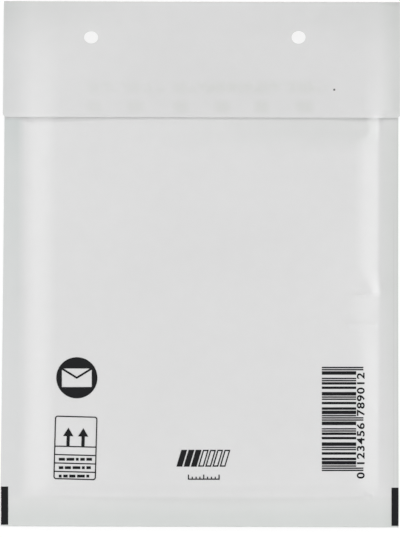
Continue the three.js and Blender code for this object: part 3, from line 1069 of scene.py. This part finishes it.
def band(tree, value, centre, half, blur):
    """1 where value lies within half of centre, fading to 0 over blur."""
    offset = add_node(tree, "ShaderNodeMath", {0: value, 1: centre}, operation="SUBTRACT")
    away = add_node(tree, "ShaderNodeMath", {0: offset}, operation="ABSOLUTE")
    return ramp(tree, away, half, half + blur, 1.0, 0.0)


def both_masks(tree, a, b):
    return add_node(tree, "ShaderNodeMath", {0: a, 1: b}, operation="MULTIPLY")


def either_mask(tree, a, b):
    return add_node(tree, "ShaderNodeMath", {0: a, 1: b}, operation="MAXIMUM")


def outside(tree, mask):
    """1 where the mask is 0."""
    return add_node(tree, "ShaderNodeMath", {0: 1.0, 1: mask}, operation="SUBTRACT")


def mix(tree, factor, a, b, blend="MIX"):
    """Goes from colour a to b. A Mix node has several sockets of one name, so these go by number."""
    inputs = {0: factor, MIX_A: a, MIX_B: b}
    node = add_node(tree, "ShaderNodeMix", inputs, data_type="RGBA", blend_type=blend)
    return node.outputs[MIX_RESULT]


def noise_value(tree, place, size, detail=2.0):
    """Noise with features of about that size, from 0 to 1."""
    inputs = {"Vector": place, "Scale": 1 / size, "Detail": detail}
    return add_node(tree, "ShaderNodeTexNoise", inputs)


# %% Clouds
PAPER_LIGHT = "#DFDFDF"
PAPER_DARK = "#DBDBDB"
SMALL_CLOUD = 7 * MM
WIDE_CLOUD = 40 * MM
CLOUD_LIMITS = (0.5, 1.5)


def cloudy_paper(tree, place):
    small = noise_value(tree, place, SMALL_CLOUD, 3.0)
    wide = noise_value(tree, place, WIDE_CLOUD, 1.0)
    total = add_node(tree, "ShaderNodeMath", {0: small, 1: wide}, operation="ADD")
    return mix(tree, ramp(tree, total, *CLOUD_LIMITS), linear(PAPER_DARK), linear(PAPER_LIGHT))


# %% Tints of the seams, most of them painted shade
# A pair of places says where a mask starts and where it is full. Two more values are its strength there.
LEFT_SEAM = (-75 * MM, -78.5 * MM)
LEFT_UPPER = (-55 * MM, 25 * MM)
LEFT_NEAR_FLAP = (42 * MM, 62 * MM)
RIGHT_SEAM = (75.8 * MM, 77.6 * MM)
RIGHT_UPPER = (-60 * MM, 0)
RIGHT_NEAR_FLAP = (60 * MM, 54 * MM, 0.4, 1.0)
RIGHT_OUTER = (77.5 * MM, 83 * MM)
BOTTOM_BLUR = 1 * MM
BOTTOM_OUTER = (-101.5 * MM, -108 * MM)
FLAP_LEFT = (-72 * MM, -83 * MM)
# Most of these tints are painted shade. The seam and bottom tints are partly the paper's own tone over
# flat film and partly painted shade.
SEAM_TONE_AND_SHADE_TINT = "#F9FAFA"
LEFT_UPPER_SHADE_TINT = "#F8FAF9"
LEFT_FLAP_SHADOW_TINT = "#F6F8F8"
RIGHT_FOOT_SHADE_TINT = "#FBFCFB"
RIGHT_OUTER_SHADE_TINT = "#F6F7F6"
BOTTOM_TONE_AND_SHADE_TINT = "#FAFBFA"
BOTTOM_OUTER_TINT = "#F8FAF9"
FLAP_LEFT_SHADE_TINT = "#F5F6F6"


def seam_tints(tree, x, y, below):
    """Tints of the seams, partly own tone and mostly painted shade: darker towards the flap on the left
    and the edge on the right.
    """
    bottom = ramp(tree, y, BOTTOM_SEAM_Y + BOTTOM_BLUR, BOTTOM_SEAM_Y - BOTTOM_BLUR)
    left = both_masks(tree, both_masks(tree, ramp(tree, x, *LEFT_SEAM), below), outside(tree, bottom))
    right = both_masks(tree, ramp(tree, x, *RIGHT_SEAM), ramp(tree, y, *RIGHT_UPPER))
    return [
        # The left seam: partly its own tone over flat film, partly painted shade beside the pad.
        (left, SEAM_TONE_AND_SHADE_TINT),
        # Painted shade: the left seam darkens towards the flap, most of all just under it, where the
        # flap's shadow falls.
        (both_masks(tree, left, ramp(tree, y, *LEFT_UPPER)), LEFT_UPPER_SHADE_TINT),
        (both_masks(tree, left, ramp(tree, y, *LEFT_NEAR_FLAP)), LEFT_FLAP_SHADOW_TINT),
        # Painted shade at the foot of the right slope, which narrows its bright line.
        (both_masks(tree, right, ramp(tree, y, *RIGHT_NEAR_FLAP)), RIGHT_FOOT_SHADE_TINT),
        # Painted shade: the right seam, and the flap over it, darken towards the edge.
        (ramp(tree, x, *RIGHT_OUTER), RIGHT_OUTER_SHADE_TINT),
        # The bottom seam: partly its own tone over flat film, partly painted shade; below it, darker
        # towards the fold.
        (bottom, BOTTOM_TONE_AND_SHADE_TINT),
        (ramp(tree, y, *BOTTOM_OUTER), BOTTOM_OUTER_TINT),
        # Painted shade on the flap's left side, where it bends down over the seam.
        (both_masks(tree, ramp(tree, x, *FLAP_LEFT), outside(tree, below)), FLAP_LEFT_SHADE_TINT),
    ]


# %% Marks of the glue and the liner
BLOT_PITCH = 17.9 * MM
BLOT_X = 8.6 * MM
DRIFT = 4 * MM
DRIFT_SIZE = 30 * MM
PATCH_SIZE = 6 * MM
PATCH_LIMITS = (0.4, 0.65)
BLOT_LIMITS = (0.0, 0.9)
BLOT_SHARE = 0.8
BLOT_ROW = {"centre": 67.3 * MM, "half": 1.2 * MM, "blur": 2.6 * MM}
STREAK_ROW = {"centre": 75.6 * MM, "half": 0.8 * MM, "blur": 3 * MM}
MARKS_WIDTH = {"centre": 1 * MM, "half": 49 * MM, "blur": 6 * MM}
MARKS_STRENGTH = (-50 * MM, 20 * MM, 0.6, 1.0)


def marks_under_flap(tree, place, x, y):
    """A row of soft blots where glue was dabbed, and over it a row of streaks where the liner ends."""
    drift = ramp(tree, noise_value(tree, place, DRIFT_SIZE), 0.0, 1.0, -DRIFT, DRIFT)
    along = add_node(tree, "ShaderNodeMath", {0: x, 1: drift}, operation="ADD")
    turn = 2 * math.pi / BLOT_PITCH
    inputs = {0: along, 1: turn, 2: -BLOT_X * turn}
    angle = add_node(tree, "ShaderNodeMath", inputs, operation="MULTIPLY_ADD")
    blots = ramp(tree, add_node(tree, "ShaderNodeMath", {0: angle}, operation="COSINE"), *BLOT_LIMITS)
    patches = ramp(tree, noise_value(tree, place, PATCH_SIZE), *PATCH_LIMITS)
    streaks = either_mask(tree, patches, both_masks(tree, blots, BLOT_SHARE))
    blot_row = both_masks(tree, blots, band(tree, y, **BLOT_ROW))
    streak_row = both_masks(tree, streaks, band(tree, y, **STREAK_ROW))
    strength = both_masks(tree, band(tree, x, **MARKS_WIDTH), ramp(tree, x, *MARKS_STRENGTH))
    return both_masks(tree, either_mask(tree, blot_row, streak_row), strength)


# %% Tints of the flap
DEEP_X = (-60 * MM, -10 * MM, 0.4, 1.0)
DEEP_Y = (113 * MM, 100 * MM)
FOLD_Y = (90 * MM, 111 * MM)
FOLD_SIDE = (20 * MM, 84 * MM)
FLECK_X = {"centre": 57.1 * MM, "half": 0.25 * MM, "blur": 0.3 * MM}
FLECK_Y = {"centre": 74.6 * MM, "half": 0.25 * MM, "blur": 0.3 * MM}
FLAP_TINT = "#FBFBFB"
FOLD_TINT = "#F6F7F6"
MARK_TINT = "#F9FAF8"
FLECK_TINT = "#5A5A58"


def flap_tints(tree, place, x, y, flap):
    """The flap is a touch darker than the ply, but less so at its left side and at the fold."""
    side = add_node(tree, "ShaderNodeMath", {0: x}, operation="ABSOLUTE")
    tints = [
        (both_masks(tree, ramp(tree, x, *DEEP_X), ramp(tree, y, *DEEP_Y)), FLAP_TINT),
        (both_masks(tree, ramp(tree, y, *FOLD_Y), ramp(tree, side, *FOLD_SIDE)), FOLD_TINT),
        (marks_under_flap(tree, place, x, y), MARK_TINT),
        (both_masks(tree, band(tree, x, **FLECK_X), band(tree, y, **FLECK_Y)), FLECK_TINT),
    ]
    return [(both_masks(tree, flap, mask), tint) for mask, tint in tints]


# %% Painted flap shadow and lines on the ply
# Painted shade: the flap's soft shadow on the ply just below its edge, strongest towards the right.
FLAP_SHADOW_X = (-30 * MM, 60 * MM)
FLAP_SHADOW_Y = (47 * MM, 56 * MM)
FLAP_SHADOW_END = (77.5 * MM, 74.5 * MM)
SEAL_LINE = {"centre": 82.6 * MM, "half": 0.1 * MM, "blur": 0.3 * MM}
SEAL_LINE_END = (30 * MM, 10 * MM)
CUT_EDGE = {"centre": 84.2 * MM, "half": 0.2 * MM, "blur": 0.2 * MM}
FLAP_SHADOW_TINT = "#F8F9F8"
LINE_TINT = "#FAFAFA"


def shadow_and_line_tints(tree, x, y, below):
    """Painted shadow of the flap on the ply below its edge, more to the right, the sealing bar's line and
    the cut edge.
    """
    # This mask paints the flap's soft shadow below its edge.
    flap_shadow = both_masks(tree, ramp(tree, x, *FLAP_SHADOW_X), ramp(tree, y, *FLAP_SHADOW_Y))
    flap_shadow = both_masks(tree, flap_shadow, ramp(tree, x, *FLAP_SHADOW_END))
    seal_line = both_masks(tree, band(tree, x, **SEAL_LINE), ramp(tree, y, *SEAL_LINE_END))
    lines = either_mask(tree, seal_line, band(tree, x, **CUT_EDGE))
    return [(both_masks(tree, flap_shadow, below), FLAP_SHADOW_TINT), (both_masks(tree, lines, below), LINE_TINT)]


# %% The paper
PAST_EDGE = (FLAP_EDGE_Y - 0.6 * MM, FLAP_EDGE_Y - 0.4 * MM)
ABOVE_MIDDLE = (MIDDLE_Z + 1.4 * MM, MIDDLE_Z + 1.6 * MM)
FIBRE = 0.9 * MM
FIBRE_DEPTH = 0.012 * MM
FIBRE_STRENGTH = 0.5


def kraft_paper():
    """Smoothed on one side, so it has a soft sheen. Its fibres are drawn coarser than the real ones."""
    material, tree, output = new_material("bleached_kraft_paper")
    place = add_node(tree, "ShaderNodeTexCoord").outputs["Object"]
    x, y, z = add_node(tree, "ShaderNodeSeparateXYZ", {0: place}).outputs
    # The flap is the paper that lies above both the pad's middle and the flap's own free edge.
    upper = ramp(tree, y, *PAST_EDGE)
    flap = both_masks(tree, ramp(tree, z, *ABOVE_MIDDLE), upper)
    below = outside(tree, upper)
    tints = seam_tints(tree, x, y, below) + flap_tints(tree, place, x, y, flap)
    tone = cloudy_paper(tree, place)
    for mask, tint in tints + shadow_and_line_tints(tree, x, y, below):
        tone = mix(tree, mask, tone, linear(tint), "MULTIPLY")
    fibres = noise_value(tree, place, FIBRE, 4.0)
    look = {"Roughness": 0.65, "Specular IOR Level": 0.2}
    surface(tree, output, tone, fibres, FIBRE_DEPTH, FIBRE_STRENGTH, look)
    return material


wear(paper, kraft_paper())
finish(paper, "paper_cover")

# %% [markdown]
# ## Ink, film, glue and release paper
# Offset ink on uncoated paper is a warm near-black that never covers quite evenly. The bubble film is
# clear polyethylene: slightly milky, soft, and glossy. Hot-melt glue is a cloudy pale amber. Release
# paper is coated with silicone, so it is smoother than the cover and a bit yellow.
# All four are two close tones in patches of a real size, over a bump of a finer one.

# %% A material of two tones
def patchy_material(name, tones, patches, relief, depth, strength, look):
    """patches and relief each give the size and the detail of a noise."""
    material, tree, output = new_material(name)
    place = add_node(tree, "ShaderNodeTexCoord").outputs["Object"]
    dark, light = (linear(tone) for tone in tones)
    tone = mix(tree, noise_value(tree, place, *patches), dark, light)
    surface(tree, output, tone, noise_value(tree, place, *relief), depth, strength, look)
    return material


# %% Ink
# The ink is mottled in patches of about 1.5 mm, where the paper drank more of it.
ink = patchy_material(
    "black_offset_ink",
    tones=("#090A0C", "#121315"),
    patches=(1.5 * MM, 3.0),
    relief=(0.3 * MM, 2.0),
    depth=0.01 * MM,
    strength=0.4,
    look={"Roughness": 0.7, "Specular IOR Level": 0.15},
)
for node, piece in prints.items():
    wear(piece, ink)
    finish(piece, node)
for piece in (figures_ink, dashes_ink):
    wear(piece, ink)
    finish(piece)

# %% Film
# Slight milkiness, in streaks of about 4 mm from the blowing of the film.
film = patchy_material(
    "clear_polyethylene_film",
    tones=("#E6ECEF", "#F4F7F8"),
    patches=(4 * MM, 2.0),
    relief=(1.2 * MM, 3.0),
    depth=0.03 * MM,
    strength=0.4,
    look={"Roughness": 0.18, "IOR": 1.51, "Transmission Weight": 0.75},
)
wear(lining, film)
finish(lining, "bubble_lining")

# %% Glue and release paper
# The glue set in soft ripples, and the silicone gives the release paper its thin gloss.
hot_melt = patchy_material(
    "hot_melt_glue",
    tones=("#DDD3B2", "#EAE3CC"),
    patches=(3 * MM, 3.0),
    relief=(2 * MM, 2.0),
    depth=0.05 * MM,
    strength=0.6,
    look={"Roughness": 0.3, "Transmission Weight": 0.3},
)
siliconised = patchy_material(
    "siliconised_release_paper",
    tones=("#EFEEE4", "#F6F5EE"),
    patches=(5 * MM, 3.0),
    relief=(0.8 * MM, 3.0),
    depth=0.008 * MM,
    strength=0.4,
    look={"Roughness": 0.3, "Coat Weight": 0.3},
)
wear(glue, hot_melt)
finish(glue, "glue_strip")
wear(liner, siliconised)
finish(liner, "release_liner")
for pin in (flap_pins, ply_pins):
    bpy.data.objects.remove(pin)

# %% [markdown]
# ## Floor and world
# The floor is plain white. Seen by the camera it adds some light of its own, so that it stays white
# beside the paper, and its plain part still takes the envelope's shadow.

# %% Floor
FLOOR_GLOW = 0.9
FLOOR_SIZE = 6
FLOOR_DROP = 0.02 * MM
FLOOR_PATCH = 0.4


def seen_directly(tree):
    """1 for camera rays and for what mirrors and glass show, else 0."""
    path = add_node(tree, "ShaderNodeLightPath").outputs
    seen = either_mask(tree, path["Is Camera Ray"], path["Is Glossy Ray"])
    return either_mask(tree, seen, path["Is Transmission Ray"])


def studio_floor():
    bpy.ops.mesh.primitive_plane_add(size=FLOOR_SIZE, location=(0, 0, -FLOOR_DROP))
    floor = bpy.context.object
    floor.name = "studio_floor"
    place_in_mesh(floor)
    material, tree, output = new_material("white_studio_board")
    place = add_node(tree, "ShaderNodeTexCoord").outputs["Object"]
    tone = mix(tree, noise_value(tree, place, FLOOR_PATCH), linear("#6A6A6A"), linear("#6E6E6E"))
    plain = add_node(tree, "ShaderNodeBsdfDiffuse", {"Color": tone})
    strength = ramp(tree, seen_directly(tree), 0.0, 1.0, 0.0, FLOOR_GLOW)
    glow = add_node(tree, "ShaderNodeEmission", {"Strength": strength})
    total = add_node(tree, "ShaderNodeAddShader", {0: plain, 1: glow})
    tree.links.new(total.outputs[0], output.inputs["Surface"])
    wear(floor, material)


studio_floor()
print("The floor lies", round(FLOOR_DROP / MM, 2), "mm under the envelope")

# %% World
AMBIENT = 0.1


def soft_world(ambient):
    world = bpy.data.worlds.new("soft_world")
    bpy.context.scene.world = world
    world.use_nodes = True
    tree = world.node_tree
    tree.nodes.clear()
    strength = ramp(tree, seen_directly(tree), 0.0, 1.0, ambient, 1.0)
    sky = add_node(tree, "ShaderNodeBackground", {"Color": (1, 1, 1, 1), "Strength": strength})
    output = add_node(tree, "ShaderNodeOutputWorld")
    tree.links.new(sky.outputs[0], output.inputs["Surface"])


soft_world(AMBIENT)

# %% [markdown]
# ## Lamps
# The photo was lit softly from above, with a lamp low on either side. The low lamps catch the slopes of
# the padding, so that both long edges show a bright line beside a darker seam. Two narrow strips beyond
# the fold and the bottom do the same for the two short edges.
# A white sheet looks as written when the light on it adds up to 1. A lamp's share is its part of that
# sum, and its power follows from its distance and its angle to the sheet.

# %% Lamps
def soft_lamp(name, place, size_x, size_y, share):
    """A rectangular lamp aimed at the middle of the envelope. It adds share to the light there."""
    place = Vector(place)
    distance = place.length
    power = share * math.pi**2 * distance**2 / (place.z / distance)
    bpy.ops.object.light_add(type="AREA", location=place)
    lamp = bpy.context.object
    lamp.name = name
    lamp.rotation_euler = (-place).to_track_quat("-Z", "Y").to_euler()
    lamp.data.shape = "RECTANGLE"
    lamp.data.size = size_x
    lamp.data.size_y = size_y
    lamp.data.energy = power
    lamp.visible_camera = False
    print(name, "has", round(power, 2), "W")


soft_lamp("top_softbox", (0.0, 0.9, 1.2), 0.9, 0.9, 0.21)
soft_lamp("bottom_softbox", (0.0, -0.9, 1.2), 0.9, 0.9, 0.21)
soft_lamp("high_strip", (0.0, 0.5, 0.25), 0.5, 0.06, 0.125)
soft_lamp("low_strip", (0.0, -0.5, 0.16), 0.5, 0.06, 0.11)
soft_lamp("left_softbox", (-0.6, -0.03, 0.085), 0.08, 0.45, 0.14)
soft_lamp("right_softbox", (0.6, 0.0, 0.085), 0.08, 0.45, 0.13)

# %% [markdown]
# ## Camera
# The camera looks straight down, from so far that the view is almost parallel. Its lens is chosen so
# that the frame's height covers the same stretch of table as in the photo.

# %% Camera
SENSOR = 36
VIEW_HEIGHT = 230.4 * MM
CAMERA_HEIGHT = 3.0
VIEW_CENTRE = (-0.3 * MM, -2.06 * MM)

bpy.ops.object.camera_add(location=(*VIEW_CENTRE, CAMERA_HEIGHT), rotation=(0, 0, 0))
camera = bpy.context.object
camera.name = "photo_camera"
camera.data.sensor_fit = "VERTICAL"
camera.data.sensor_height = SENSOR
camera.data.lens = SENSOR * (CAMERA_HEIGHT - MIDDLE_Z) / VIEW_HEIGHT
camera.data.clip_end = 20
bpy.context.scene.camera = camera
bpy.context.scene.view_settings.view_transform = "Standard"
print("The lens is", round(camera.data.lens), "mm")
